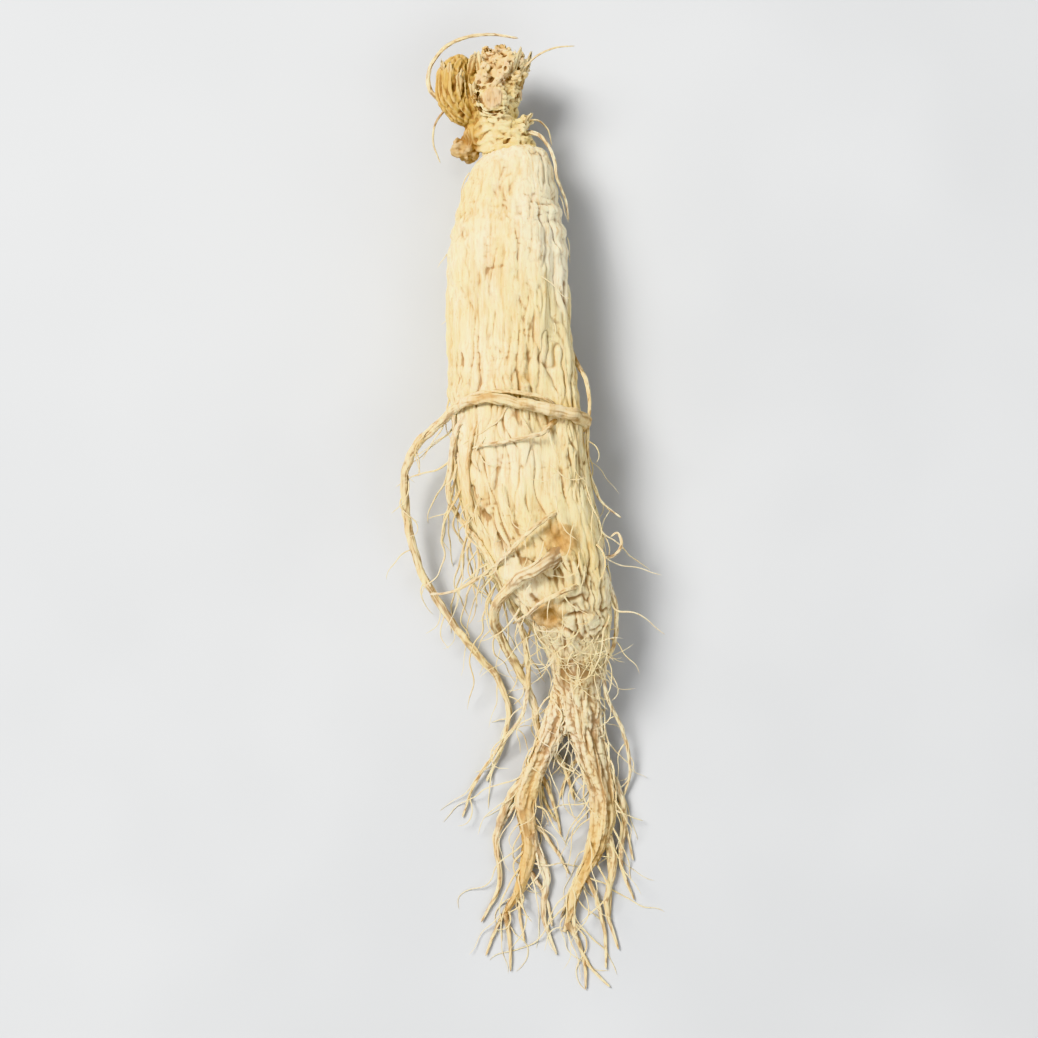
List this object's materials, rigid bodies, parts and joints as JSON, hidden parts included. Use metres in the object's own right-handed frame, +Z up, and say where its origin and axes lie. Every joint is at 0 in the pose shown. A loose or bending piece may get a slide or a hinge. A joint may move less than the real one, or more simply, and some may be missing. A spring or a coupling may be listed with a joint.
{
  "type": "ginseng root",
  "caption": "Dried ginseng root lying flat: a knotty rhizome on a plump furrowed body with tapering legs and thin side roots. A spice and medicinal root to set out or pack.",
  "frame": {"origin": "middle of the flat spot under the belly, on the surface that the root rests on", "axes": "+Y along the root towards its rhizome, +Z up, +X to the right when seen from above with the rhizome at the top"},
  "size_m": [0.0422, 0.1711, 0.0227],
  "materials": {
    "root_skin": "dry, matt, pale cream root skin, golden brown at the rhizome"
  },
  "bodies": {
    "root": {"ginseng_root": "root_skin"}
  },
  "joints": []
}
